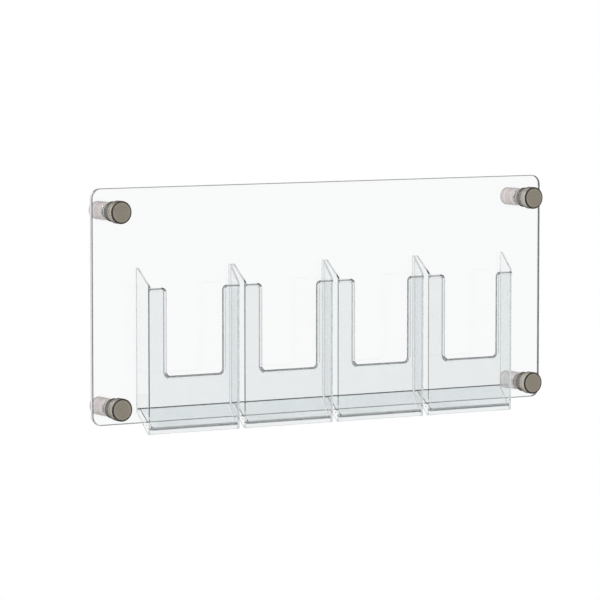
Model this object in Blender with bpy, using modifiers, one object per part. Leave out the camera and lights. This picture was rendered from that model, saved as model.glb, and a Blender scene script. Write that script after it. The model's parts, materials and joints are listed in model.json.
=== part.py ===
"""Wall brochure rack: a clear panel on four standoffs carries a row of clear moulded leaflet pockets.

Frame: the wall is the plane Y = 0 and the rack stands out of it towards -Y, +X is to the right and +Z is up.
The origin lies on the wall behind the middle of the panel. All sizes are in metres.
"""
import math

import bmesh
import bpy
from mathutils import Matrix, Vector

# Air left between pieces that rest on each other
SEAT_GAP = 0.0003

# Back panel
PANEL_WIDTH = 0.536
PANEL_HEIGHT = 0.235
PANEL_THICKNESS = 0.005
PANEL_CORNER_RADIUS = 0.010
PANEL_EDGE_CHAMFER = 0.0008

# Standoffs, one near each corner of the panel, the lower pair nearer to the edge
STANDOFF_SIDE_INSET = 0.022
STANDOFF_TOP_INSET = 0.023
STANDOFF_BOTTOM_INSET = 0.017
STUD_DIAMETER = 0.008
STUD_CLEARANCE = 0.0004
STUD_ENGAGEMENT = 0.012
STUD_TIP_CHAMFER = 0.0008
BARREL_DIAMETER = 0.0182
BARREL_LENGTH = 0.025
BARREL_BORE_DEPTH = 0.017
BARREL_SCREW_HOLE = 0.005
BARREL_SCREW_SINK = 0.002
REAR_WASHER_DIAMETER = 0.0176
REAR_WASHER_THICKNESS = 0.001
FRONT_WASHER_DIAMETER = 0.0196
FRONT_WASHER_THICKNESS = 0.0016
COLLAR_DIAMETER = 0.0205
COLLAR_LENGTH = 0.0092
CAP_DIAMETER = 0.0229
CAP_LENGTH = 0.009
CAP_RIM_WIDTH = 0.0016
CAP_RIM_DROP = 0.0009
TURNED_EDGE_CHAMFER = 0.0003
TURNED_SIDES = 32

# Leaflet pockets, open behind, where the panel closes them
POCKET_GAP = 0.0016
CAP_TO_POCKET = 0.010
POCKET_OVERHANG = 0.009
POCKET_DEPTH = 0.023
POCKET_HEIGHT = 0.1645
POCKET_WALL = 0.0022
POCKET_CORNER_RADIUS = 0.003
POCKET_DRAFT = 0.002
LEAFLET_WIDTH = 0.099
LEAFLET_CLEARANCE = 0.001
SHOULDER_LAND = 0.0015
WALL_FOOT_HEIGHT = 0.021
ARM_HEIGHT = 0.1455
CUTOUT_WIDTH = 0.064
CUTOUT_FLOOR = 0.0575
CUTOUT_RADIUS = 0.0045
ARM_CORNER_RADIUS = 0.005
BEAD_DIAMETER = 0.0038
FLOOR_BACK_HEIGHT = 0.0245
FLOOR_FRONT_HEIGHT = 0.0045
FLOOR_THICKNESS = 0.0016
FLOOR_RECESS = 0.0002

# Straight steps in a quarter turn of a rounded corner
ARC_STEPS = 6
# How far a cutter reaches past what it cuts
CUT_MARGIN = 0.005

# Places that follow from the sizes above, as distances in front of the wall
REAR_WASHER_BACK = BARREL_LENGTH + SEAT_GAP
PANEL_BACK = REAR_WASHER_BACK + REAR_WASHER_THICKNESS + SEAT_GAP
PANEL_FRONT = PANEL_BACK + PANEL_THICKNESS
FRONT_WASHER_BACK = PANEL_FRONT + SEAT_GAP
COLLAR_BACK = FRONT_WASHER_BACK + FRONT_WASHER_THICKNESS + SEAT_GAP
CAP_BACK = COLLAR_BACK + COLLAR_LENGTH + SEAT_GAP
STUD_TIP = BARREL_LENGTH - STUD_ENGAGEMENT
POCKET_BACK = PANEL_FRONT + SEAT_GAP
POCKET_BOTTOM = -PANEL_HEIGHT / 2 - POCKET_OVERHANG

STUD_RADIUS = STUD_DIAMETER / 2
STUD_HOLE_RADIUS = STUD_RADIUS + STUD_CLEARANCE
STANDOFF_X = PANEL_WIDTH / 2 - STANDOFF_SIDE_INSET
STANDOFF_TOP = PANEL_HEIGHT / 2 - STANDOFF_TOP_INSET
STANDOFF_BOTTOM = STANDOFF_BOTTOM_INSET - PANEL_HEIGHT / 2

# Half widths of a pocket: inside and outside at its front, then at its back
INSIDE_FRONT = (LEAFLET_WIDTH + LEAFLET_CLEARANCE) / 2
OUTSIDE_FRONT = INSIDE_FRONT + POCKET_WALL
INSIDE_BACK = INSIDE_FRONT + POCKET_DRAFT
OUTSIDE_BACK = OUTSIDE_FRONT + POCKET_DRAFT
POCKET_PITCH = 2 * OUTSIDE_BACK + POCKET_GAP

# As many pockets as stand side by side between the caps
ROW_ROOM = 2 * (STANDOFF_X - CAP_DIAMETER / 2 - CAP_TO_POCKET)
POCKET_COUNT = int((ROW_ROOM + POCKET_GAP) / POCKET_PITCH)

# Turns that stand a flat outline up, seen from the front or from the right
FRONT_VIEW = Matrix.Rotation(math.pi / 2, 4, "X")
SIDE_VIEW = Matrix(((0, 0, 1), (1, 0, 0), (0, 1, 0))).to_4x4()


def clear_scene():
    for item in list(bpy.data.objects):
        bpy.data.objects.remove(item, do_unlink=True)


def new_collection(name):
    collection = bpy.data.collections.new(name)
    bpy.context.scene.collection.children.link(collection)
    return collection


def new_material(name, colour, roughness, metallic=0.0, transmission=0.0):
    material = bpy.data.materials.new(name)
    material.use_nodes = True
    shader = material.node_tree.nodes["Principled BSDF"]
    shader.inputs["Base Color"].default_value = (*colour, 1.0)
    shader.inputs["Roughness"].default_value = roughness
    shader.inputs["Metallic"].default_value = metallic
    shader.inputs["Transmission Weight"].default_value = transmission
    shader.inputs["IOR"].default_value = 1.49
    material.diffuse_color = (*colour, 1.0)
    return material


def filleted(corners):
    """Points of an outline whose corners, each (x, y, radius), are rounded by an arc."""
    points = []
    for i, (x, y, radius) in enumerate(corners):
        corner = Vector((x, y))
        if radius == 0:
            points.append(corner)
            continue
        back = (Vector(corners[i - 1][:2]) - corner).normalized()
        ahead = (Vector(corners[(i + 1) % len(corners)][:2]) - corner).normalized()
        half_angle = back.angle(ahead) / 2
        centre = corner + (back + ahead).normalized() * radius / math.sin(half_angle)
        start = corner + back * radius / math.tan(half_angle) - centre
        end = corner + ahead * radius / math.tan(half_angle) - centre
        sweep = math.atan2(start.cross(end), start.dot(end))
        for step in range(ARC_STEPS + 1):
            points.append(centre + Matrix.Rotation(sweep * step / ARC_STEPS, 2) @ start)
    return points


def circle(x, y, radius):
    """Points of a circle, clockwise, for a hole in an outline."""
    turns = (-2 * math.pi * k / TURNED_SIDES for k in range(TURNED_SIDES))
    return [Vector((x + radius * math.cos(a), y + radius * math.sin(a))) for a in turns]


def mesh_of(source):
    """Mesh of an object as its modifiers or its curve settings shape it, with loose seams welded."""
    bpy.context.view_layer.update()
    evaluated = source.evaluated_get(bpy.context.evaluated_depsgraph_get())
    mesh = bpy.data.meshes.new_from_object(evaluated)
    mesh.name = source.name
    work = bmesh.new()
    work.from_mesh(mesh)
    bmesh.ops.remove_doubles(work, verts=work.verts, dist=1e-6)
    work.to_mesh(mesh)
    work.free()
    return mesh


def solid_from_curve(curve, collection, placement):
    """Mesh object that takes the place of a curve."""
    guide = bpy.data.objects.new(curve.name, curve)
    collection.objects.link(guide)
    mesh = mesh_of(guide)
    bpy.data.objects.remove(guide, do_unlink=True)
    solid = bpy.data.objects.new(curve.name, mesh)
    solid.matrix_world = placement
    collection.objects.link(solid)
    return solid


def plate(name, loops, thickness, collection, placement, chamfer=0.0):
    """Flat outline, with any holes as further loops, thickened evenly about its plane."""
    curve = bpy.data.curves.new(name, "CURVE")
    curve.dimensions = "2D"
    curve.fill_mode = "BOTH"
    curve.extrude = thickness / 2 - chamfer
    curve.bevel_depth = chamfer
    curve.bevel_resolution = 0
    curve.offset = -chamfer
    for loop in loops:
        spline = curve.splines.new("POLY")
        spline.points.add(len(loop) - 1)
        for point, place in zip(spline.points, loop):
            point.co = (place.x, place.y, 0, 1)
        spline.use_cyclic_u = True
    return solid_from_curve(curve, collection, placement)


def rod(name, path, diameter, collection, placement):
    """Round rod along an open path in the XY plane."""
    curve = bpy.data.curves.new(name, "CURVE")
    curve.dimensions = "3D"
    curve.bevel_depth = diameter / 2
    curve.bevel_resolution = 2
    curve.use_fill_caps = True
    spline = curve.splines.new("POLY")
    spline.points.add(len(path) - 1)
    for point, place in zip(spline.points, path):
        point.co = (place.x, place.y, 0, 1)
    return solid_from_curve(curve, collection, placement)


def combine(target, tool, operation):
    """Add a Boolean step to the target, and keep its tool out of sight."""
    step = target.modifiers.new(f"{operation.lower()} {tool.name}", "BOOLEAN")
    step.operation = operation
    step.solver = "EXACT"
    step.object = tool
    tool.hide_render = True
    tool.display_type = "WIRE"


def shade_round(mesh):
    mesh.shade_smooth()
    mesh.set_sharp_from_angle(angle=math.radians(30))


def turned(name, profile, closed, parent, distance, material, collection):
    """Piece turned about the standoff's axis from (radius, distance) points, given down its outer side."""
    mesh = bpy.data.meshes.new(name)
    work = bmesh.new()
    ring = [work.verts.new((radius, 0, along)) for radius, along in profile]
    for first, second in zip(ring, ring[1:]):
        work.edges.new((first, second))
    if closed:
        work.edges.new((ring[-1], ring[0]))
    work.to_mesh(mesh)
    work.free()
    piece = bpy.data.objects.new(name, mesh)
    collection.objects.link(piece)
    piece.parent = parent
    piece.location = (0, 0, distance)
    spin = piece.modifiers.new("turn", "SCREW")
    spin.axis = "Z"
    spin.steps = TURNED_SIDES
    spin.render_steps = TURNED_SIDES
    spin.use_merge_vertices = True
    spin.merge_threshold = 1e-5
    piece.data = mesh_of(piece)
    piece.data.name = name
    piece.modifiers.clear()
    bpy.data.meshes.remove(mesh)
    piece.data.materials.append(material)
    shade_round(piece.data)
    return piece


def ring_profile(outer, inner, length, chamfer):
    """Closed profile of a plain ring with its outer edges broken, from its front down its outer side."""
    return [
        (inner, length),
        (outer - chamfer, length),
        (outer, length - chamfer),
        (outer, chamfer),
        (outer - chamfer, 0),
        (inner, 0),
    ]


def barrel_profile():
    """Closed profile of the barrel: blind bore in front, sunk screw hole through its base."""
    outer = BARREL_DIAMETER / 2
    screw = BARREL_SCREW_HOLE / 2
    bore_end = BARREL_LENGTH - BARREL_BORE_DEPTH
    return [
        (STUD_HOLE_RADIUS, BARREL_LENGTH),
        (outer - TURNED_EDGE_CHAMFER, BARREL_LENGTH),
        (outer, BARREL_LENGTH - TURNED_EDGE_CHAMFER),
        (outer, TURNED_EDGE_CHAMFER),
        (outer - TURNED_EDGE_CHAMFER, 0),
        (screw, 0),
        (screw, bore_end - BARREL_SCREW_SINK),
        (STUD_HOLE_RADIUS, bore_end),
    ]


def cap_profile():
    """Open profile of the cap from the middle of its face to the tip of its stud."""
    outer = CAP_DIAMETER / 2
    tip = STUD_TIP - CAP_BACK
    return [
        (0, CAP_LENGTH),
        (outer - CAP_RIM_WIDTH, CAP_LENGTH),
        (outer, CAP_LENGTH - CAP_RIM_DROP),
        (outer, TURNED_EDGE_CHAMFER),
        (outer - TURNED_EDGE_CHAMFER, 0),
        (STUD_RADIUS, 0),
        (STUD_RADIUS, tip + STUD_TIP_CHAMFER),
        (STUD_RADIUS - STUD_TIP_CHAMFER, tip),
        (0, tip),
    ]


def make_standoff(corner, x, z, materials, collection):
    """Barrel on the wall, washers on both sides of the panel, collar, and the cap that screws in."""
    axis = bpy.data.objects.new(f"standoff_{corner}", None)
    axis.matrix_world = Matrix.Translation((x, 0, z)) @ FRONT_VIEW
    collection.objects.link(axis)
    turned(f"barrel_{corner}", barrel_profile(), True, axis, 0, materials["nickel"], collection)
    rings = (
        ("rear_washer", REAR_WASHER_DIAMETER, REAR_WASHER_THICKNESS, REAR_WASHER_BACK, "nylon"),
        ("front_washer", FRONT_WASHER_DIAMETER, FRONT_WASHER_THICKNESS, FRONT_WASHER_BACK, "nylon"),
        ("collar", COLLAR_DIAMETER, COLLAR_LENGTH, COLLAR_BACK, "dark_nickel"),
    )
    for name, diameter, length, back, finish in rings:
        profile = ring_profile(diameter / 2, STUD_HOLE_RADIUS, length, TURNED_EDGE_CHAMFER)
        turned(f"{name}_{corner}", profile, True, axis, back, materials[finish], collection)
    turned(f"cap_{corner}", cap_profile(), False, axis, CAP_BACK, materials["nickel"], collection)


def standoff_places():
    """Name and place of each standoff, as seen from the front."""
    for height, z in (("top", STANDOFF_TOP), ("bottom", STANDOFF_BOTTOM)):
        for side, x in (("left", -STANDOFF_X), ("right", STANDOFF_X)):
            yield f"{height}_{side}", x, z


def make_panel(material, collection):
    """Rounded sheet with a clear hole for each stud."""
    half_width = PANEL_WIDTH / 2
    half_height = PANEL_HEIGHT / 2
    corners = [(-half_width, -half_height), (half_width, -half_height), (half_width, half_height)]
    corners.append((-half_width, half_height))
    outline = filleted([(x, z, PANEL_CORNER_RADIUS) for x, z in corners])
    holes = [circle(x, z, STUD_HOLE_RADIUS) for _, x, z in standoff_places()]
    middle = -(PANEL_BACK + PANEL_FRONT) / 2
    placement = Matrix.Translation((0, middle, 0)) @ FRONT_VIEW
    panel = plate("back_panel", [outline, *holes], PANEL_THICKNESS, collection, placement, PANEL_EDGE_CHAMFER)
    panel.data.materials.append(material)
    shade_round(panel.data)


def pocket_plan():
    """Plan of a pocket's walls: a channel open at the back, where its sides draw apart to leave the mould."""
    inner_radius = POCKET_CORNER_RADIUS - POCKET_WALL
    right_half = [
        (OUTSIDE_FRONT, -POCKET_DEPTH, POCKET_CORNER_RADIUS),
        (OUTSIDE_BACK, 0, 0),
        (INSIDE_BACK, 0, 0),
        (INSIDE_FRONT, POCKET_WALL - POCKET_DEPTH, inner_radius),
    ]
    left_half = [(-x, y, radius) for x, y, radius in reversed(right_half)]
    return filleted(right_half + left_half)


def cutout_corners():
    """Middle line of the bead, from arm end to arm end, round the cut-out between the arms."""
    bead_radius = BEAD_DIAMETER / 2
    end = INSIDE_FRONT + POCKET_WALL / 2
    side = CUTOUT_WIDTH / 2 + bead_radius
    arm = ARM_HEIGHT - bead_radius
    floor = CUTOUT_FLOOR - bead_radius
    right_half = [
        (side, floor, CUTOUT_RADIUS + bead_radius),
        (side, arm, ARM_CORNER_RADIUS - bead_radius),
        (end, arm, 0),
    ]
    left_half = [(-x, z, radius) for x, z, radius in reversed(right_half)]
    return left_half + right_half


def pocket_mesh(tools):
    """One moulding: channel with sloping shoulders and feet, bead round the cut-out and a sloping floor."""
    wall_middle = POCKET_WALL / 2 - POCKET_DEPTH
    shell_place = Matrix.Translation((0, 0, POCKET_HEIGHT / 2))
    shell = plate("pocket_shell", [pocket_plan()], POCKET_HEIGHT, tools, shell_place)

    width = 2 * (OUTSIDE_BACK + CUT_MARGIN)
    slope = (POCKET_HEIGHT - ARM_HEIGHT) / (POCKET_DEPTH - SHOULDER_LAND)
    shoulder = [
        (-SHOULDER_LAND, POCKET_HEIGHT),
        (CUT_MARGIN / slope - SHOULDER_LAND, POCKET_HEIGHT + CUT_MARGIN),
        (-POCKET_DEPTH - CUT_MARGIN, POCKET_HEIGHT + CUT_MARGIN),
        (-POCKET_DEPTH - CUT_MARGIN, ARM_HEIGHT - slope * CUT_MARGIN),
    ]
    shoulder_loop = [Vector(point) for point in shoulder]
    combine(shell, plate("shoulder_cut", [shoulder_loop], width, tools, SIDE_VIEW), "DIFFERENCE")

    foot_front = POCKET_CORNER_RADIUS - POCKET_DEPTH
    rise = WALL_FOOT_HEIGHT / foot_front
    foot = [
        (foot_front, 0),
        (foot_front, -CUT_MARGIN),
        (CUT_MARGIN, -CUT_MARGIN),
        (CUT_MARGIN, WALL_FOOT_HEIGHT - rise * CUT_MARGIN),
    ]
    foot_loop = [Vector(point) for point in foot]
    combine(shell, plate("foot_cut", [foot_loop], width, tools, SIDE_VIEW), "DIFFERENCE")

    top = POCKET_HEIGHT + CUT_MARGIN
    inside = INSIDE_FRONT - SEAT_GAP
    middle_line = cutout_corners()
    between_arms = [(-inside, *middle_line[0][1:]), *middle_line[1:-1], (inside, *middle_line[-1][1:])]
    opening = filleted([*between_arms, (inside, top, 0), (-inside, top, 0)])
    front_place = Matrix.Translation((0, wall_middle, 0)) @ FRONT_VIEW
    opening_tool = plate("front_cut", [opening], POCKET_WALL + CUT_MARGIN, tools, front_place)
    combine(shell, opening_tool, "DIFFERENCE")

    ledge = [
        (-FLOOR_RECESS, FLOOR_BACK_HEIGHT),
        (wall_middle, FLOOR_FRONT_HEIGHT),
        (wall_middle, FLOOR_FRONT_HEIGHT - FLOOR_THICKNESS),
        (-FLOOR_RECESS, FLOOR_BACK_HEIGHT - FLOOR_THICKNESS),
    ]
    ledge_loop = [Vector(point) for point in ledge]
    floor = plate("floor_slab", [ledge_loop], width, tools, SIDE_VIEW)
    half_wall = POCKET_WALL / 2
    between_walls = [
        (INSIDE_FRONT + half_wall, -POCKET_DEPTH),
        (INSIDE_BACK + half_wall, 0),
        (-INSIDE_BACK - half_wall, 0),
        (-INSIDE_FRONT - half_wall, -POCKET_DEPTH),
    ]
    plan_loop = [Vector(point) for point in between_walls]
    floor_plan = plate("floor_plan", [plan_loop], POCKET_HEIGHT, tools, shell_place)
    combine(floor, floor_plan, "INTERSECT")
    combine(shell, floor, "UNION")

    bead = rod("bead", filleted(middle_line), BEAD_DIAMETER, tools, front_place)
    combine(shell, bead, "UNION")
    shell.hide_render = True
    shell.display_type = "WIRE"
    mesh = mesh_of(shell)
    mesh.transform(shell_place)
    return mesh


def make_pockets(material, collection, tools):
    """Row of equal pockets, centred on the panel."""
    mesh = pocket_mesh(tools)
    mesh.name = "leaflet_pocket"
    mesh.materials.append(material)
    shade_round(mesh)
    for number in range(POCKET_COUNT):
        pocket = bpy.data.objects.new(f"pocket_{number + 1}", mesh)
        x = (number - (POCKET_COUNT - 1) / 2) * POCKET_PITCH
        pocket.location = (x, -POCKET_BACK, POCKET_BOTTOM)
        collection.objects.link(pocket)


def main():
    clear_scene()
    parts = new_collection("brochure_rack")
    tools = new_collection("cutters")
    materials = {
        "acrylic": new_material("clear_acrylic", (0.96, 0.98, 0.98), 0.03, transmission=1.0),
        "moulding": new_material("clear_moulding", (0.92, 0.95, 0.95), 0.05, transmission=1.0),
        "nickel": new_material("satin_nickel", (0.27, 0.24, 0.20), 0.35, metallic=1.0),
        "dark_nickel": new_material("dark_nickel", (0.20, 0.18, 0.16), 0.4, metallic=1.0),
        "nylon": new_material("clear_nylon", (0.75, 0.74, 0.73), 0.4),
    }
    make_panel(materials["acrylic"], parts)
    make_pockets(materials["moulding"], parts, tools)
    for corner, x, z in standoff_places():
        make_standoff(corner, x, z, materials, parts)


main()
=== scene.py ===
"""Wall brochure rack: clear acrylic panel on four satin nickel standoffs, with a row of clear pockets.

The wall is the plane Y = 0, the rack stands out of it towards -Y and +Z is up. All sizes are in metres.
"""
import json
import math

import bmesh
import bpy
from mathutils import Matrix, Vector

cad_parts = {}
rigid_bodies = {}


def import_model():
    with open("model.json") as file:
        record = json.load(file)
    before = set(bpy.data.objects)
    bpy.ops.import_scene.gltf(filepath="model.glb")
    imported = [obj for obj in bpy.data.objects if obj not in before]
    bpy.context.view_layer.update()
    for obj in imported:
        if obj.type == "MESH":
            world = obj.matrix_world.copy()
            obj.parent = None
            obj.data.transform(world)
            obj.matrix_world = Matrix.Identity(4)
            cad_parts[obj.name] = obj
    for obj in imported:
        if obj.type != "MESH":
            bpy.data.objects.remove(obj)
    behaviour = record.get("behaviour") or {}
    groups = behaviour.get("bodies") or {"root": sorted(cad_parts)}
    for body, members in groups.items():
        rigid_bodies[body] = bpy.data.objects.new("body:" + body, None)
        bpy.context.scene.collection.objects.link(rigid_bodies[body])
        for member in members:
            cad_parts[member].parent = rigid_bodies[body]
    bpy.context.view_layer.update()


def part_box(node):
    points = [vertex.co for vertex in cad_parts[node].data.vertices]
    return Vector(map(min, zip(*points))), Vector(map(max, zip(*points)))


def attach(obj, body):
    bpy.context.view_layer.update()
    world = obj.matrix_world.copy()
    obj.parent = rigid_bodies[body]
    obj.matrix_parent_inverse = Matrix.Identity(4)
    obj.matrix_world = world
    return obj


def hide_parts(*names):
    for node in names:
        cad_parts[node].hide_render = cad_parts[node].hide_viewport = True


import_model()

# Air between pieces that rest on each other
SEAT_GAP = 0.0003

# Panel
PANEL_CORNER_RADIUS = 0.010
PANEL_EDGE_BEVEL = 0.0008

# Standoffs
STUD_RADIUS = 0.004
STUD_ROOT_RADIUS = 0.00335
STUD_HOLE_RADIUS = 0.0044
STUD_NECK = 0.0016
STUD_TIP_CHAMFER = 0.0008
STUD_TIP_TAPER = 0.4
THREAD_PITCH = 0.00125
THREAD_CREST = 1.35
THREAD_FLANK = 3.4
BARREL_BORE_DEPTH = 0.017
BARREL_SCREW_RADIUS = 0.0025
BARREL_SCREW_SINK = 0.002
CAP_LENGTH = 0.009
CAP_RIM_WIDTH = 0.0016
CAP_RIM_DROP = 0.0009
TURNED_EDGE_CHAMFER = 0.0003

# Pockets
POCKET_COUNT = 4
POCKET_DEPTH = 0.023
POCKET_HEIGHT = 0.1645
POCKET_WALL = 0.0022
POCKET_CORNER_RADIUS = 0.003
POCKET_DRAFT = 0.002
INSIDE_FRONT = 0.050
SHOULDER_LAND = 0.0015
WALL_FOOT_HEIGHT = 0.021
ARM_HEIGHT = 0.1455
CUTOUT_WIDTH = 0.064
CUTOUT_FLOOR = 0.0575
CUTOUT_RADIUS = 0.0045
ARM_CORNER_RADIUS = 0.005
BEAD_DIAMETER = 0.0038
FLOOR_BACK_HEIGHT = 0.0245
FLOOR_FRONT_HEIGHT = 0.0045
FLOOR_THICKNESS = 0.0016
FLOOR_RECESS = 0.0002
CEMENT_STRIP = 0.0009
WELD_STRIP = 0.0036
SIDE_WELD = 0.003
RIM_BEVEL = 0.0003
# Which faces of the bead take the rim's painted shade: those whose normal rises, or leans out sideways,
# past these limits
RIM_SLOPE = 0.1
RIM_SIDE = 0.7
CUT_MARGIN = 0.005

OUTSIDE_FRONT = INSIDE_FRONT + POCKET_WALL
INSIDE_BACK = INSIDE_FRONT + POCKET_DRAFT
OUTSIDE_BACK = OUTSIDE_FRONT + POCKET_DRAFT
WALL_SPREAD = POCKET_DRAFT / (POCKET_DEPTH - POCKET_WALL)

# How finely curves are stepped
ARC_STEPS = 14
ROD_STEPS = 6
TURNED_SIDES = 64
THREAD_ROWS = 8
MERGE_DISTANCE = 1e-6
SHARP_ANGLE = math.radians(24)
FLAT_FACE_AREA = 0.00002

# How far a face's normal leans before the face counts as steep, slanted, level or upright
STEEP = 0.5
NEARLY_STRAIGHT = 0.9
STRAIGHT = 0.99
CROSSWISE = 0.05
# These leans tell the cap's side and chamfer apart, for their painted light and painted shade
CAP_SIDE_LEAN = 0.2
CAP_FACE_LEAN = 0.95

# Refractive indices: the plastics, and joints that light passes almost straight
ACRYLIC_IOR = 1.49
NYLON_IOR = 1.53
JOINT_IOR = 1.06

# Studio floor: height, radius, sides, and how it fades with distance
STUDIO_FLOOR_LEVEL = -0.62
STUDIO_FLOOR_RADIUS = 1.3
STUDIO_FLOOR_SIDES = 96
STUDIO_FLOOR_FADE = (0.35, 1.25)

# Backdrop: level direction towards it, and how it fades round the sides into the room and up to the ceiling
BACKDROP_SIDE = (0.52, 0.854, 0.0)
BACKDROP_FADE = (-0.2, 0.4)
ROOM_LEVEL = 0.62
CEILING_LIFT = 0.5
CEILING_FADE = (0.2, 0.6)

# Lamp: width and height, watts, and where it hangs
LAMP_SIZE = (1.6, 1.0)
LAMP_POWER = 20.0
LAMP_PLACE = Vector((-1.4, -1.5, 1.6))

# Camera: where it looks, from which side, how far away, its lens and sensor in millimetres, and its reach
AIM = Vector((-0.02877, -0.0316, -0.00237))
AZIMUTH = math.radians(-31.347)
ELEVATION = math.radians(4.751)
DISTANCE = 3.8109
LENS = 224.77
SENSOR_WIDTH = 36.0
CAMERA_REACH = 50.0

CORNERS = ("top_left", "top_right", "bottom_left", "bottom_right")
FRONT_VIEW = Matrix.Rotation(math.pi / 2, 4, "X")
SIDE_VIEW = Matrix(((0, 0, 1), (1, 0, 0), (0, 1, 0))).to_4x4()

workshop = bpy.data.collections.new("tools")
bpy.context.scene.collection.children.link(workshop)
rack = bpy.data.collections.new("rack")
bpy.context.scene.collection.children.link(rack)


class Graph:
    """Short way to add nodes to a material's or the world's tree."""

    def __init__(self, tree):
        self.tree = tree

    def add(self, kind, **settings):
        node = self.tree.nodes.new(kind)
        for name, value in settings.items():
            setattr(node, name, value)
        return node

    def link(self, source, target):
        self.tree.links.new(source, target)

    def math(self, operation, first, second=None, clamp=False):
        node = self.add("ShaderNodeMath", operation=operation, use_clamp=clamp)
        for socket, value in zip(node.inputs, (first, second)):
            if value is None:
                continue
            if isinstance(value, (int, float)):
                socket.default_value = value
            else:
                self.link(value, socket)
        return node.outputs[0]

    def noise(self, vector, scale, detail=2.0, roughness=0.5):
        node = self.add("ShaderNodeTexNoise")
        node.inputs["Scale"].default_value = scale
        node.inputs["Detail"].default_value = detail
        node.inputs["Roughness"].default_value = roughness
        self.link(vector, node.inputs["Vector"])
        return node.outputs["Fac"]

    def span(self, value, low, high, from_low=0.0, from_high=1.0, smooth=False):
        node = self.add("ShaderNodeMapRange")
        node.interpolation_type = "SMOOTHSTEP" if smooth else "LINEAR"
        node.inputs["From Min"].default_value = from_low
        node.inputs["From Max"].default_value = from_high
        node.inputs["To Min"].default_value = low
        node.inputs["To Max"].default_value = high
        self.link(value, node.inputs["Value"])
        return node.outputs["Result"]

    def tints(self, factor, first, second):
        node = self.add("ShaderNodeMix", data_type="RGBA")
        inputs = [socket for socket in node.inputs if socket.type == "RGBA"]
        inputs[0].default_value = (*first, 1)
        inputs[1].default_value = (*second, 1)
        self.link(factor, node.inputs["Factor"])
        return next(socket for socket in node.outputs if socket.type == "RGBA")

    def bump(self, height, strength, distance):
        node = self.add("ShaderNodeBump")
        node.inputs["Strength"].default_value = strength
        node.inputs["Distance"].default_value = distance
        self.link(height, node.inputs["Height"])
        return node.outputs["Normal"]


def new_material(name):
    material = bpy.data.materials.new(name)
    material.use_nodes = True
    graph = Graph(material.node_tree)
    return material, graph, material.node_tree.nodes["Principled BSDF"]


def clear_plastic(name, clear, smeared, smooth, hazy, waviness):
    """Clear plastic with a faint uneven haze and flow waves on its surface."""
    material, graph, shader = new_material(name)
    shader.inputs["Transmission Weight"].default_value = 1.0
    shader.inputs["IOR"].default_value = ACRYLIC_IOR
    place = graph.add("ShaderNodeTexCoord").outputs["Object"]
    smear = graph.noise(place, scale=45.0, detail=4.0, roughness=0.6)
    graph.link(graph.span(smear, smooth, hazy, from_low=0.35, from_high=0.75), shader.inputs["Roughness"])
    graph.link(graph.tints(smear, smeared, clear), shader.inputs["Base Color"])
    flow = graph.noise(place, scale=28.0, detail=1.0, roughness=0.4)
    graph.link(graph.bump(flow, strength=0.2, distance=waviness), shader.inputs["Normal"])
    return material


def sawn_edge(name, dark, light, clearness):
    """Edge of the sheet and of its drilled holes: the same plastic with fine saw lines, half polished. The
    darker copies on the edges facing right and up and on the bevels are painted shade.
    """
    material, graph, shader = new_material(name)
    shader.inputs["Transmission Weight"].default_value = clearness
    shader.inputs["IOR"].default_value = ACRYLIC_IOR
    place = graph.add("ShaderNodeTexCoord").outputs["Object"]
    lines = graph.noise(place, scale=900.0, detail=3.0, roughness=0.6)
    graph.link(graph.span(lines, 0.12, 0.3, from_low=0.3, from_high=0.7), shader.inputs["Roughness"])
    graph.link(graph.tints(lines, dark, light), shader.inputs["Base Color"])
    graph.link(graph.bump(lines, strength=0.3, distance=0.0001), shader.inputs["Normal"])
    return material


def tinted_edge(name, dark, light, scale, smooth, rough, clearness, bend=ACRYLIC_IOR):
    """Tinted line on a moulding: the same plastic, darker and uneven along its run. On the bead's rim this
    darkness is painted shade; elsewhere it is the line's own tint.
    """
    material, graph, shader = new_material(name)
    shader.inputs["Transmission Weight"].default_value = clearness
    shader.inputs["IOR"].default_value = bend
    place = graph.add("ShaderNodeTexCoord").outputs["Object"]
    run = graph.noise(place, scale=scale, detail=3.0, roughness=0.6)
    tone = graph.span(run, 0, 1, from_low=0.35, from_high=0.65)
    graph.link(graph.tints(tone, dark, light), shader.inputs["Base Color"])
    graph.link(graph.span(run, smooth, rough, from_low=0.3, from_high=0.7), shader.inputs["Roughness"])
    return material


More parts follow.
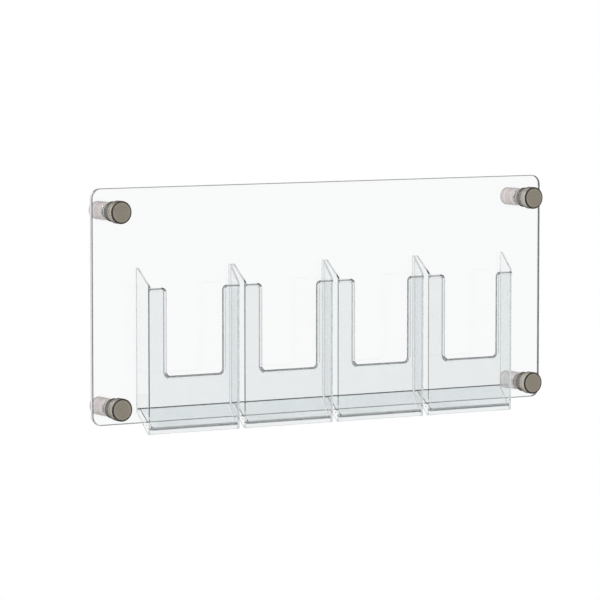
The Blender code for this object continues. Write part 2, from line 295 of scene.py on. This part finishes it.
def turned_metal(name, dark, light, smooth, rough, outline_shade):
    """Satin metal with lathe lines, broad and fine, round the piece's own axis, its reflection dimmed
    towards the outlines as painted shade.
    """
    material, graph, shader = new_material(name)
    shader.inputs["Metallic"].default_value = 1.0
    shader.inputs["Anisotropic"].default_value = 0.35
    # Tint that dims the reflection at steep sight lines towards the outlines: painted shade
    shader.inputs["Specular Tint"].default_value = (outline_shade, outline_shade, outline_shade, 1)
    place = graph.add("ShaderNodeTexCoord").outputs["Object"]
    parts = graph.add("ShaderNodeSeparateXYZ")
    graph.link(place, parts.inputs["Vector"])
    x, y, z = parts.outputs
    squares = graph.math("ADD", graph.math("MULTIPLY", x, x), graph.math("MULTIPLY", y, y))
    radius = graph.math("SQRT", squares)
    unrolled = graph.add("ShaderNodeCombineXYZ")
    graph.link(radius, unrolled.inputs["X"])
    graph.link(z, unrolled.inputs["Y"])
    lines = graph.noise(unrolled.outputs["Vector"], scale=5200.0, detail=3.0, roughness=0.7)
    bands = graph.noise(unrolled.outputs["Vector"], scale=210.0, detail=2.0, roughness=0.6)
    cloud = graph.noise(place, scale=260.0, detail=3.0, roughness=0.55)
    grain = graph.math("ADD", graph.math("MULTIPLY", lines, 0.2), graph.math("MULTIPLY", cloud, 0.15))
    grain = graph.math("ADD", grain, graph.math("MULTIPLY", bands, 0.65))
    tone = graph.span(grain, 0, 1, from_low=0.4, from_high=0.6)
    graph.link(graph.tints(tone, dark, light), shader.inputs["Base Color"])
    graph.link(graph.span(grain, smooth, rough, from_low=0.3, from_high=0.7), shader.inputs["Roughness"])
    graph.link(graph.bump(lines, strength=0.25, distance=0.00004), shader.inputs["Normal"])
    tangent = graph.add("ShaderNodeTangent", direction_type="RADIAL", axis="Z")
    graph.link(tangent.outputs["Tangent"], shader.inputs["Tangent"])
    return material


def milky_nylon(name):
    """Washer plastic: pale, slightly see-through and matt, with a fine moulded grain."""
    material, graph, shader = new_material(name)
    shader.inputs["Transmission Weight"].default_value = 0.1
    shader.inputs["IOR"].default_value = NYLON_IOR
    place = graph.add("ShaderNodeTexCoord").outputs["Object"]
    grain = graph.noise(place, scale=1400.0, detail=3.0, roughness=0.6)
    graph.link(graph.tints(grain, (0.80, 0.79, 0.76), (0.90, 0.89, 0.86)), shader.inputs["Base Color"])
    graph.link(graph.span(grain, 0.35, 0.55, from_low=0.3, from_high=0.7), shader.inputs["Roughness"])
    graph.link(graph.bump(grain, strength=0.2, distance=0.00005), shader.inputs["Normal"])
    return material


acrylic = clear_plastic(
    "cast_acrylic", clear=(0.985, 0.99, 0.992), smeared=(0.965, 0.973, 0.976),
    smooth=0.0, hazy=0.012, waviness=0.00002,
)
pale_edge = sawn_edge(
    "pale_acrylic_edge", dark=(0.80, 0.812, 0.825), light=(0.93, 0.942, 0.952),
    clearness=0.2,
)
# Darker copy of the sawn edge for the edges facing right and up: painted shade
shaded_edge = sawn_edge(
    "acrylic_edge_painted_shade", dark=(0.20, 0.207, 0.222), light=(0.34, 0.35, 0.37),
    clearness=0.1,
)
# Dark tint on the bevels round the sheet's faces: painted shade along the sheet's outline
shaded_acrylic_bevel = sawn_edge(
    "acrylic_bevel_painted_shade", dark=(0.09, 0.095, 0.10), light=(0.19, 0.198, 0.205),
    clearness=0.88,
)
moulding = clear_plastic(
    "moulded_clear", clear=(0.89, 0.915, 0.921), smeared=(0.845, 0.873, 0.879),
    smooth=0.0, hazy=0.03, waviness=0.00012,
)
# Clearer copy of the moulding for the side walls: painted light
lit_side_wall = clear_plastic(
    "moulded_side_painted_light", clear=(0.95, 0.962, 0.966), smeared=(0.92, 0.937, 0.942),
    smooth=0.0, hazy=0.03, waviness=0.00012,
)
# Dark tint on the bead's rim: painted shade
rim_shade = tinted_edge(
    "moulded_rim_painted_shade", dark=(0.10, 0.11, 0.115), light=(0.22, 0.235, 0.24),
    scale=240.0, smooth=0.05, rough=0.2, clearness=0.95,
)
cement = tinted_edge(
    "cement_line", dark=(0.012, 0.013, 0.014), light=(0.16, 0.168, 0.172),
    scale=420.0, smooth=0.2, rough=0.5, clearness=0.8,
)
weld_line = tinted_edge(
    "weld_line", dark=(0.60, 0.62, 0.625), light=(0.76, 0.78, 0.785),
    scale=300.0, smooth=0.35, rough=0.6, clearness=0.45,
)
wall_end = tinted_edge(
    "wall_end", dark=(0.40, 0.42, 0.425), light=(0.60, 0.62, 0.625),
    scale=160.0, smooth=0.05, rough=0.2, clearness=0.98, bend=JOINT_IOR,
)
seam = tinted_edge(
    "soft_seam", dark=(0.965, 0.973, 0.975), light=(0.99, 0.992, 0.993),
    scale=260.0, smooth=0.08, rough=0.2, clearness=1.0, bend=JOINT_IOR,
)
nickel = turned_metal(
    "satin_nickel", dark=(0.35, 0.314, 0.258), light=(0.45, 0.404, 0.335),
    smooth=0.28, rough=0.42, outline_shade=0.3,
)
# Paler copy of the nickel for the cap's turned side: painted light
lit_side_nickel = turned_metal(
    "lit_side_nickel", dark=(0.495, 0.47, 0.417), light=(0.72, 0.684, 0.608),
    smooth=0.28, rough=0.42, outline_shade=0.1,
)
# Paler copy of the nickel for the barrels: painted light
lit_barrel_nickel = turned_metal(
    "lit_barrel_nickel", dark=(0.57, 0.524, 0.518), light=(0.90, 0.832, 0.822),
    smooth=0.30, rough=0.44, outline_shade=0.5,
)
# Darker copy of the nickel for the collar: partly the collar's own darker finish, partly painted shade
# between cap and panel
dark_nickel = turned_metal(
    "dark_nickel", dark=(0.262, 0.248, 0.229), light=(0.332, 0.318, 0.294),
    smooth=0.34, rough=0.48, outline_shade=0.1,
)
# Near-black copy of the nickel for the chamfer round the cap's face: painted shade
shaded_rim_nickel = turned_metal(
    "shaded_rim_nickel", dark=(0.036, 0.033, 0.03), light=(0.062, 0.058, 0.053),
    smooth=0.34, rough=0.48, outline_shade=0.3,
)
nylon = milky_nylon("milky_nylon")


def filleted(corners):
    """Points of an outline whose corners, each (x, y, radius), are rounded by an arc."""
    points = []
    for i, (x, y, radius) in enumerate(corners):
        corner = Vector((x, y))
        if radius == 0:
            points.append(corner)
            continue
        back = (Vector(corners[i - 1][:2]) - corner).normalized()
        ahead = (Vector(corners[(i + 1) % len(corners)][:2]) - corner).normalized()
        half_angle = back.angle(ahead) / 2
        centre = corner + (back + ahead).normalized() * radius / math.sin(half_angle)
        start = corner + back * radius / math.tan(half_angle) - centre
        end = corner + ahead * radius / math.tan(half_angle) - centre
        sweep = math.atan2(start.cross(end), start.dot(end))
        for step in range(ARC_STEPS + 1):
            points.append(centre + Matrix.Rotation(sweep * step / ARC_STEPS, 2) @ start)
    return points


def circle(x, y, radius):
    """Points of a circle, clockwise, for a hole in an outline."""
    turns = (-2 * math.pi * k / TURNED_SIDES for k in range(TURNED_SIDES))
    return [Vector((x + radius * math.cos(a), y + radius * math.sin(a))) for a in turns]


def mesh_of(source):
    """Mesh of an object as its modifiers or its curve settings shape it, with loose seams welded."""
    bpy.context.view_layer.update()
    evaluated = source.evaluated_get(bpy.context.evaluated_depsgraph_get())
    mesh = bpy.data.meshes.new_from_object(evaluated)
    mesh.name = source.name
    work = bmesh.new()
    work.from_mesh(mesh)
    bmesh.ops.remove_doubles(work, verts=work.verts, dist=MERGE_DISTANCE)
    work.to_mesh(mesh)
    work.free()
    return mesh


def tool_from_curve(curve, placement):
    """Mesh object that takes the place of a curve, kept with the tools."""
    guide = bpy.data.objects.new(curve.name, curve)
    workshop.objects.link(guide)
    mesh = mesh_of(guide)
    bpy.data.objects.remove(guide, do_unlink=True)
    tool = bpy.data.objects.new(curve.name, mesh)
    tool.matrix_world = placement
    workshop.objects.link(tool)
    return tool


def plate(name, loops, thickness, placement, bevel=0.0, bevel_steps=0):
    """Flat outline, with any holes as further loops, thickened evenly about its plane."""
    curve = bpy.data.curves.new(name, "CURVE")
    curve.dimensions = "2D"
    curve.fill_mode = "BOTH"
    curve.extrude = thickness / 2 - bevel
    curve.bevel_depth = bevel
    curve.bevel_resolution = bevel_steps
    curve.offset = -bevel
    for loop in loops:
        spline = curve.splines.new("POLY")
        spline.points.add(len(loop) - 1)
        for point, place in zip(spline.points, loop):
            point.co = (place.x, place.y, 0, 1)
        spline.use_cyclic_u = True
    return tool_from_curve(curve, placement)


def rod(name, path, diameter, placement):
    """Round rod along an open path in the XY plane."""
    curve = bpy.data.curves.new(name, "CURVE")
    curve.dimensions = "3D"
    curve.bevel_depth = diameter / 2
    curve.bevel_resolution = ROD_STEPS
    curve.use_fill_caps = True
    spline = curve.splines.new("POLY")
    spline.points.add(len(path) - 1)
    for point, place in zip(spline.points, path):
        point.co = (place.x, place.y, 0, 1)
    return tool_from_curve(curve, placement)


def combine(target, tool, operation):
    """Adds a boolean step that joins a tool to the target or cuts it away."""
    step = target.modifiers.new(f"{operation.lower()} {tool.name}", "BOOLEAN")
    step.operation = operation
    step.solver = "EXACT"
    step.object = tool


def shade(mesh, flat_area=math.inf):
    """Smooth curves, crisp edges, and large flat faces left quite flat."""
    mesh.shade_smooth()
    mesh.set_sharp_from_angle(angle=SHARP_ANGLE)
    for face in mesh.polygons:
        if face.area > flat_area:
            face.use_smooth = False


def finish_faces(mesh, finishes, choose):
    """Gives a mesh its finishes, and each face the one that is chosen for it."""
    for finish in finishes:
        mesh.materials.append(finish)
    for face in mesh.polygons:
        face.material_index = finishes.index(choose(face))


def dress(name, mesh, node, body, placement=Matrix.Identity(4)):
    """New piece that stands for a node, moves with its body and takes its finish."""
    piece = bpy.data.objects.new(name, mesh)
    piece.matrix_world = placement
    rack.objects.link(piece)
    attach(piece, body)
    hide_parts(node)
    return piece


def turned_mesh(name, profile, closed):
    """Mesh turned about Z from (radius, height) points, given down its outer side."""
    mesh = bpy.data.meshes.new(name)
    work = bmesh.new()
    ring = [work.verts.new((radius, 0, along)) for radius, along in profile]
    edges = [work.edges.new(pair) for pair in zip(ring, ring[1:])]
    if closed:
        edges.append(work.edges.new((ring[-1], ring[0])))
    bmesh.ops.spin(
        work,
        geom=ring + edges,
        cent=(0, 0, 0),
        axis=(0, 0, 1),
        dvec=(0, 0, 0),
        angle=2 * math.pi,
        steps=TURNED_SIDES,
        use_merge=True,
    )
    bmesh.ops.remove_doubles(work, verts=work.verts, dist=MERGE_DISTANCE)
    bmesh.ops.recalc_face_normals(work, faces=work.faces)
    work.to_mesh(mesh)
    work.free()
    return mesh


def thread_mesh(name, low, high):
    """Screw thread about Z between two heights: a helical ridge that runs out at neck and tip."""
    mesh = bpy.data.meshes.new(name)
    work = bmesh.new()
    depth = STUD_RADIUS - STUD_ROOT_RADIUS
    first = -2 * THREAD_ROWS
    last = int((high - low) / THREAD_PITCH + 2) * THREAD_ROWS
    grid = {}
    for row in range(first, last + 1):
        share = (row % THREAD_ROWS) / THREAD_ROWS
        ridge = min(1.0, max(0.0, THREAD_CREST - THREAD_FLANK * abs(share - 0.5)))
        for side in range(TURNED_SIDES):
            turn = side / TURNED_SIDES
            along = low + THREAD_PITCH * (row / THREAD_ROWS + turn)
            along = min(high, max(low, along))
            run_out = min(1.0, (high - along) / STUD_NECK)
            lead_in = min(1.0, (along - low) / STUD_TIP_CHAMFER)
            radius = STUD_ROOT_RADIUS + depth * ridge * lead_in
            radius = run_out * radius + (1 - run_out) * STUD_RADIUS
            radius -= (1 - lead_in) * STUD_TIP_CHAMFER * STUD_TIP_TAPER
            angle = 2 * math.pi * turn
            grid[row, side] = work.verts.new((radius * math.cos(angle), radius * math.sin(angle), along))
    for row in range(first, last - THREAD_ROWS):
        for side in range(TURNED_SIDES):
            on = (row, side + 1) if side + 1 < TURNED_SIDES else (row + THREAD_ROWS, 0)
            corners = [(row, side), on, (on[0] + 1, on[1]), (row + 1, side)]
            work.faces.new([grid[key] for key in corners])
    loose = [vert for vert in work.verts if not vert.link_faces]
    bmesh.ops.delete(work, geom=loose, context="VERTS")
    bmesh.ops.remove_doubles(work, verts=work.verts, dist=MERGE_DISTANCE)
    bmesh.ops.dissolve_degenerate(work, edges=work.edges, dist=MERGE_DISTANCE)
    work.to_mesh(mesh)
    work.free()
    return mesh


def ring_profile(outer, inner, length, chamfer):
    """Closed profile of a plain ring with its outer edges broken, from its front down its outer side."""
    return [
        (inner, length),
        (outer - chamfer, length),
        (outer, length - chamfer),
        (outer, chamfer),
        (outer - chamfer, 0),
        (inner, 0),
    ]


def barrel_profile(outer, length):
    """Closed profile of the barrel: blind bore in front, sunk screw hole through its base."""
    bore_end = length - BARREL_BORE_DEPTH
    return [
        (STUD_HOLE_RADIUS, length),
        (outer - TURNED_EDGE_CHAMFER, length),
        (outer, length - TURNED_EDGE_CHAMFER),
        (outer, TURNED_EDGE_CHAMFER),
        (outer - TURNED_EDGE_CHAMFER, 0),
        (BARREL_SCREW_RADIUS, 0),
        (BARREL_SCREW_RADIUS, bore_end - BARREL_SCREW_SINK),
        (STUD_HOLE_RADIUS, bore_end),
    ]


def cap_mesh(outer, length, stud_length):
    """Cap with a chamfered face and a threaded stud, its back at height zero."""
    profile = [
        (0, length),
        (outer - CAP_RIM_WIDTH, length),
        (outer, length - CAP_RIM_DROP),
        (outer, TURNED_EDGE_CHAMFER),
        (outer - TURNED_EDGE_CHAMFER, 0),
        (STUD_RADIUS, 0),
    ]
    mesh = turned_mesh("cap", profile, closed=False)
    thread = thread_mesh("thread", -stud_length, 0)
    work = bmesh.new()
    work.from_mesh(mesh)
    work.from_mesh(thread)
    bmesh.ops.remove_doubles(work, verts=work.verts, dist=MERGE_DISTANCE)
    open_edges = [edge for edge in work.edges if edge.is_boundary]
    bmesh.ops.holes_fill(work, edges=open_edges, sides=0)
    bmesh.ops.recalc_face_normals(work, faces=work.faces)
    work.to_mesh(mesh)
    work.free()
    bpy.data.meshes.remove(thread)
    return mesh


def cap_finish(face):
    """Painted shade on the chamfer round the cap's face, painted light on its paler turned side, and the
    same metal on face and stud.
    """
    if face.center.z > 0 and abs(face.normal.z) < CAP_SIDE_LEAN:
        return lit_side_nickel
    if face.center.z > 0 and 0 < face.normal.z < CAP_FACE_LEAN:
        return shaded_rim_nickel
    return nickel


def make_standoffs():
    """Barrel, washers, collar and cap of each standoff, on the axis that the cap turns about."""
    meshes = {}
    finishes = {
        # The barrel takes a paler copy of the nickel: painted light
        "barrel": ("rack", "satin_nickel", lit_barrel_nickel),
        "rear_washer": ("rack", "clear_nylon", nylon),
        "front_washer": ("collar", "clear_nylon", nylon),
        # The collar's darker nickel is partly its own finish and partly painted shade
        "collar": ("collar", "dark_nickel", dark_nickel),
        "cap": ("cap", "satin_nickel", nickel),
    }
    for kind in finishes:
        low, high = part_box(f"{kind}_top_left")
        outer = (high.x - low.x) / 2
        length = high.y - low.y
        if kind == "barrel":
            mesh = turned_mesh(kind, barrel_profile(outer, length), closed=True)
        elif kind == "cap":
            mesh = cap_mesh(outer, CAP_LENGTH, length - CAP_LENGTH)
        else:
            profile = ring_profile(outer, STUD_HOLE_RADIUS, length, TURNED_EDGE_CHAMFER)
            mesh = turned_mesh(kind, profile, closed=True)
        if kind != "cap":
            mesh.materials.append(finishes[kind][2])
        shade(mesh)
        meshes[kind] = mesh
    # The cap's side takes painted light and its chamfer painted shade
    finish_faces(meshes["cap"], (nickel, shaded_rim_nickel, lit_side_nickel), cap_finish)
    for corner in CORNERS:
        for kind, (carrier, slot, _) in finishes.items():
            node = f"{kind}_{corner}"
            low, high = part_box(node)
            back = low.y + CAP_LENGTH if kind == "cap" else high.y
            axis = Matrix.Translation(((low.x + high.x) / 2, back, (low.z + high.z) / 2))
            body = carrier if carrier == "rack" else f"{carrier}_{corner}"
            dress(f"{kind}_{corner}_turned", meshes[kind], node, body, axis @ FRONT_VIEW)


def panel_finish(face):
    """Clear faces, bevels darkened with painted shade, and sawn edges, with painted shade on those facing
    right and up.
    """
    slant = abs(face.normal.y)
    if slant > STRAIGHT:
        return acrylic
    if slant > CROSSWISE:
        return shaded_acrylic_bevel
    # Edges facing right and up take the darker copy: painted shade
    return shaded_edge if face.normal.x + face.normal.z > 0 else pale_edge


def make_panel():
    """Rounded sheet with a clear hole for each stud."""
    low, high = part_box("back_panel")
    corners = [(low.x, low.z), (high.x, low.z), (high.x, high.z), (low.x, high.z)]
    loops = [filleted([(x, z, PANEL_CORNER_RADIUS) for x, z in corners])]
    for corner in CORNERS:
        near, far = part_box(f"cap_{corner}")
        loops.append(circle((near.x + far.x) / 2, (near.z + far.z) / 2, STUD_HOLE_RADIUS))
    placement = Matrix.Translation((0, (low.y + high.y) / 2, 0)) @ FRONT_VIEW
    sheet = plate("panel_sheet", loops, high.y - low.y, placement, bevel=PANEL_EDGE_BEVEL, bevel_steps=1)
    mesh = sheet.data
    mesh.transform(placement)
    shade(mesh)
    for face in mesh.polygons:
        face.use_smooth = abs(face.normal.y) < STRAIGHT
    finish_faces(mesh, (acrylic, pale_edge, shaded_acrylic_bevel, shaded_edge), panel_finish)
    dress("panel_sheet_clear", mesh, "back_panel", "rack")
    bpy.data.objects.remove(sheet, do_unlink=True)


def pocket_plan():
    """Plan of a pocket's walls: a channel whose sides draw apart towards its open back."""
    inner_radius = POCKET_CORNER_RADIUS - POCKET_WALL
    right_half = [
        (OUTSIDE_FRONT, -POCKET_DEPTH, POCKET_CORNER_RADIUS),
        (OUTSIDE_BACK, 0, 0),
        (INSIDE_BACK, 0, 0),
        (INSIDE_FRONT, POCKET_WALL - POCKET_DEPTH, inner_radius),
    ]
    left_half = [(-x, y, radius) for x, y, radius in reversed(right_half)]
    return filleted(right_half + left_half)


def cutout_corners():
    """Middle line of the bead, from arm end to arm end, round the cut-out between the arms."""
    bead_radius = BEAD_DIAMETER / 2
    end = INSIDE_FRONT + POCKET_WALL / 2
    side = CUTOUT_WIDTH / 2 + bead_radius
    arm = ARM_HEIGHT - bead_radius
    floor = CUTOUT_FLOOR - bead_radius
    right_half = [
        (side, floor, CUTOUT_RADIUS + bead_radius),
        (side, arm, ARM_CORNER_RADIUS - bead_radius),
        (end, arm, 0),
    ]
    left_half = [(-x, z, radius) for x, z, radius in reversed(right_half)]
    return left_half + right_half


def pocket_mesh():
    """One moulding: channel with sloping shoulders and feet, bead round the cut-out and a sloping floor."""
    wall_middle = POCKET_WALL / 2 - POCKET_DEPTH
    shell_place = Matrix.Translation((0, 0, POCKET_HEIGHT / 2))
    shell = plate("pocket_shell", [pocket_plan()], POCKET_HEIGHT, shell_place, bevel=RIM_BEVEL)

    width = 2 * (OUTSIDE_BACK + CUT_MARGIN)
    slope = (POCKET_HEIGHT - ARM_HEIGHT) / (POCKET_DEPTH - SHOULDER_LAND)
    shoulder = [
        (-SHOULDER_LAND, POCKET_HEIGHT),
        (CUT_MARGIN / slope - SHOULDER_LAND, POCKET_HEIGHT + CUT_MARGIN),
        (-POCKET_DEPTH - CUT_MARGIN, POCKET_HEIGHT + CUT_MARGIN),
        (-POCKET_DEPTH - CUT_MARGIN, ARM_HEIGHT - slope * CUT_MARGIN),
    ]
    shoulder_loop = [Vector(point) for point in shoulder]
    combine(shell, plate("shoulder_cut", [shoulder_loop], width, SIDE_VIEW), "DIFFERENCE")

    foot_front = POCKET_CORNER_RADIUS - POCKET_DEPTH
    rise = WALL_FOOT_HEIGHT / foot_front
    foot = [
        (foot_front, 0),
        (foot_front, -CUT_MARGIN),
        (CUT_MARGIN, -CUT_MARGIN),
        (CUT_MARGIN, WALL_FOOT_HEIGHT - rise * CUT_MARGIN),
    ]
    foot_loop = [Vector(point) for point in foot]
    combine(shell, plate("foot_cut", [foot_loop], width, SIDE_VIEW), "DIFFERENCE")

    top = POCKET_HEIGHT + CUT_MARGIN
    inside = INSIDE_FRONT - SEAT_GAP
    middle_line = cutout_corners()
    between_arms = [(-inside, *middle_line[0][1:]), *middle_line[1:-1], (inside, *middle_line[-1][1:])]
    opening = filleted([*between_arms, (inside, top, 0), (-inside, top, 0)])
    front_place = Matrix.Translation((0, wall_middle, 0)) @ FRONT_VIEW
    combine(shell, plate("front_cut", [opening], POCKET_WALL + CUT_MARGIN, front_place), "DIFFERENCE")

    back_edge = Vector((-FLOOR_RECESS, FLOOR_BACK_HEIGHT))
    front_edge = Vector((wall_middle, FLOOR_FRONT_HEIGHT))
    under = Vector((0, -FLOOR_THICKNESS))
    run = (back_edge - front_edge) / (back_edge.x - front_edge.x)
    cement_edge = back_edge - CEMENT_STRIP * run
    weld_edge = front_edge + WELD_STRIP * run + under
    ledge_loop = [back_edge, cement_edge, front_edge, front_edge + under, weld_edge, back_edge + under]
    floor = plate("floor_slab", [ledge_loop], width, SIDE_VIEW)
    half_wall = POCKET_WALL / 2
    between_walls = [
        (INSIDE_FRONT + half_wall, -POCKET_DEPTH),
        (INSIDE_BACK + half_wall, 0),
        (-INSIDE_BACK - half_wall, 0),
        (-INSIDE_FRONT - half_wall, -POCKET_DEPTH),
    ]
    plan_loop = [Vector(point) for point in between_walls]
    combine(floor, plate("floor_plan", [plan_loop], POCKET_HEIGHT, shell_place), "INTERSECT")
    combine(shell, floor, "UNION")

    combine(shell, rod("bead", filleted(middle_line), BEAD_DIAMETER, front_place), "UNION")
    mesh = mesh_of(shell)
    mesh.transform(shell_place)
    return mesh


def on_bead(place, rim_line):
    """Whether a place on a pocket lies on the skin of its bead."""
    across = place.y - POCKET_WALL / 2 + POCKET_DEPTH
    spot = Vector((place.x, place.z))
    nearest = 1.0
    for start, end in zip(rim_line, rim_line[1:]):
        step = end - start
        share = min(1.0, max(0.0, (spot - start).dot(step) / step.length_squared))
        nearest = min(nearest, (spot - start - share * step).length)
    return math.hypot(nearest, across) < BEAD_DIAMETER / 2 + MERGE_DISTANCE


def by_side_wall(place):
    """Whether a place on the floor's skin lies within the weld along a side wall."""
    inside = INSIDE_BACK + WALL_SPREAD * place.y
    return inside - SIDE_WELD < abs(place.x) < inside


def mark_side_welds(mesh):
    """Cuts the floor's skin, above and below, along the welds at the side walls."""
    work = bmesh.new()
    work.from_mesh(mesh)
    for side in (-1, 1):
        skin = []
        for face in work.faces:
            spot = face.calc_center_median()
            slanted = min(abs(face.normal.z), abs(face.normal.y)) > STEEP
            if slanted and spot.z < FLOOR_BACK_HEIGHT and abs(spot.x) < INSIDE_FRONT:
                skin.append(face)
        edges = dict.fromkeys(edge for face in skin for edge in face.edges)
        points = dict.fromkeys(point for face in skin for point in face.verts)
        bmesh.ops.bisect_plane(
            work,
            geom=[*skin, *edges, *points],
            plane_co=(side * (INSIDE_BACK - SIDE_WELD), 0, 0),
            plane_no=(1, -side * WALL_SPREAD, 0),
        )
    work.to_mesh(mesh)
    work.free()


def pocket_finish(face, rim_line):
    """Finish of a pocket's face: the joints' lines first, then the bead's rim with painted shade and the
    side walls with a clearer copy for painted light, else plain moulding.
    """
    place = face.center
    normal = face.normal
    slanted = min(abs(normal.z), abs(normal.y)) > STEEP
    facing_down_and_back = min(-normal.z, normal.y) > STEEP
    if place.y > -SEAT_GAP and normal.y > NEARLY_STRAIGHT:
        return cement if place.y < -FLOOR_RECESS / 2 else wall_end
    on_floor = STEEP < normal.z < NEARLY_STRAIGHT and place.z < FLOOR_BACK_HEIGHT
    if on_floor and place.y > -FLOOR_RECESS - CEMENT_STRIP:
        return cement
    if facing_down_and_back and place.y < POCKET_WALL / 2 - POCKET_DEPTH + WELD_STRIP:
        return weld_line
    if slanted and by_side_wall(place):
        return seam
    if facing_down_and_back and abs(place.x) > INSIDE_FRONT:
        return wall_end
    # Bead faces that face up or out sideways take painted shade
    if max(normal.z, abs(normal.x) - RIM_SIDE) > RIM_SLOPE and on_bead(place, rim_line):
        return rim_shade
    # Side walls take the clearer copy: painted light
    return lit_side_wall if abs(normal.x) > STRAIGHT else moulding


def make_pockets():
    """Row of equal pockets on the panel's face."""
    mesh = pocket_mesh()
    mesh.name = "leaflet_pocket"
    mark_side_welds(mesh)
    shade(mesh, FLAT_FACE_AREA)
    finishes = (moulding, rim_shade, cement, wall_end, weld_line, seam, lit_side_wall)
    rim_line = filleted(cutout_corners())
    finish_faces(mesh, finishes, lambda face: pocket_finish(face, rim_line))
    for number in range(1, POCKET_COUNT + 1):
        node = f"pocket_{number}"
        low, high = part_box(node)
        placement = Matrix.Translation(((low.x + high.x) / 2, high.y, low.z))
        dress(f"{node}_moulding", mesh, node, "rack", placement)


def make_floor():
    """Plain pale floor well below the rack, which fades out into the backdrop."""
    mesh = bpy.data.meshes.new("studio_floor")
    work = bmesh.new()
    bmesh.ops.create_circle(work, cap_ends=True, segments=STUDIO_FLOOR_SIDES, radius=STUDIO_FLOOR_RADIUS)
    work.to_mesh(mesh)
    work.free()
    floor = bpy.data.objects.new("studio_floor", mesh)
    floor.location = (0, 0, STUDIO_FLOOR_LEVEL)
    bpy.context.scene.collection.objects.link(floor)
    material, graph, shader = new_material("pale_floor")
    place = graph.add("ShaderNodeTexCoord").outputs["Object"]
    mottle = graph.noise(place, scale=6.0, detail=3.0)
    graph.link(graph.tints(mottle, (0.86, 0.86, 0.86), (0.90, 0.90, 0.90)), shader.inputs["Base Color"])
    shader.inputs["Roughness"].default_value = 0.8
    far = graph.add("ShaderNodeVectorMath", operation="LENGTH")
    graph.link(place, far.inputs[0])
    clear = graph.add("ShaderNodeBsdfTransparent")
    fade = graph.add("ShaderNodeMixShader")
    graph.link(graph.span(far.outputs["Value"], 0, 1, *STUDIO_FLOOR_FADE, smooth=True), fade.inputs[0])
    graph.link(shader.outputs["BSDF"], fade.inputs[1])
    graph.link(clear.outputs["BSDF"], fade.inputs[2])
    output = material.node_tree.nodes["Material Output"]
    graph.link(fade.outputs["Shader"], output.inputs["Surface"])
    mesh.materials.append(material)


def make_studio():
    """White backdrop, a dimmer room in front of it, a pale ceiling and one soft lamp."""
    world = bpy.data.worlds.new("studio")
    world.use_nodes = True
    bpy.context.scene.world = world
    room = Graph(world.node_tree)
    direction = room.add("ShaderNodeTexCoord").outputs["Generated"]
    toward = room.add("ShaderNodeVectorMath", operation="DOT_PRODUCT")
    toward.inputs[1].default_value = BACKDROP_SIDE
    room.link(direction, toward.inputs[0])
    parts = room.add("ShaderNodeSeparateXYZ")
    room.link(direction, parts.inputs["Vector"])
    walls = room.span(toward.outputs["Value"], ROOM_LEVEL, 1.0, *BACKDROP_FADE, smooth=True)
    lift = room.span(parts.outputs["Z"], 0.0, CEILING_LIFT, *CEILING_FADE, smooth=True)
    background = world.node_tree.nodes["Background"]
    background.inputs["Color"].default_value = (1, 1, 1, 1)
    room.link(room.math("MINIMUM", room.math("ADD", walls, lift), 1.0), background.inputs["Strength"])

    lamp_data = bpy.data.lights.new("soft_key", "AREA")
    lamp_data.shape = "RECTANGLE"
    lamp_data.size, lamp_data.size_y = LAMP_SIZE
    lamp_data.energy = LAMP_POWER
    lamp = bpy.data.objects.new("soft_key", lamp_data)
    lamp.location = LAMP_PLACE
    lamp.rotation_euler = (-LAMP_PLACE).to_track_quat("-Z", "Y").to_euler()
    bpy.context.scene.collection.objects.link(lamp)


def make_camera():
    """Camera at the photograph's viewing angle."""
    data = bpy.data.cameras.new("camera")
    data.lens = LENS
    data.sensor_width = SENSOR_WIDTH
    data.clip_end = CAMERA_REACH
    camera = bpy.data.objects.new("camera", data)
    level = math.cos(ELEVATION)
    back = Vector((math.sin(AZIMUTH) * level, -math.cos(AZIMUTH) * level, math.sin(ELEVATION)))
    camera.location = AIM + DISTANCE * back
    camera.rotation_euler = (-back).to_track_quat("-Z", "Y").to_euler()
    bpy.context.scene.collection.objects.link(camera)
    bpy.context.scene.camera = camera


make_panel()
make_pockets()
make_standoffs()
make_floor()
make_studio()
make_camera()
for tool in list(workshop.objects):
    bpy.data.objects.remove(tool, do_unlink=True)
bpy.data.collections.remove(workshop)
bpy.context.scene.view_settings.view_transform = "Standard"
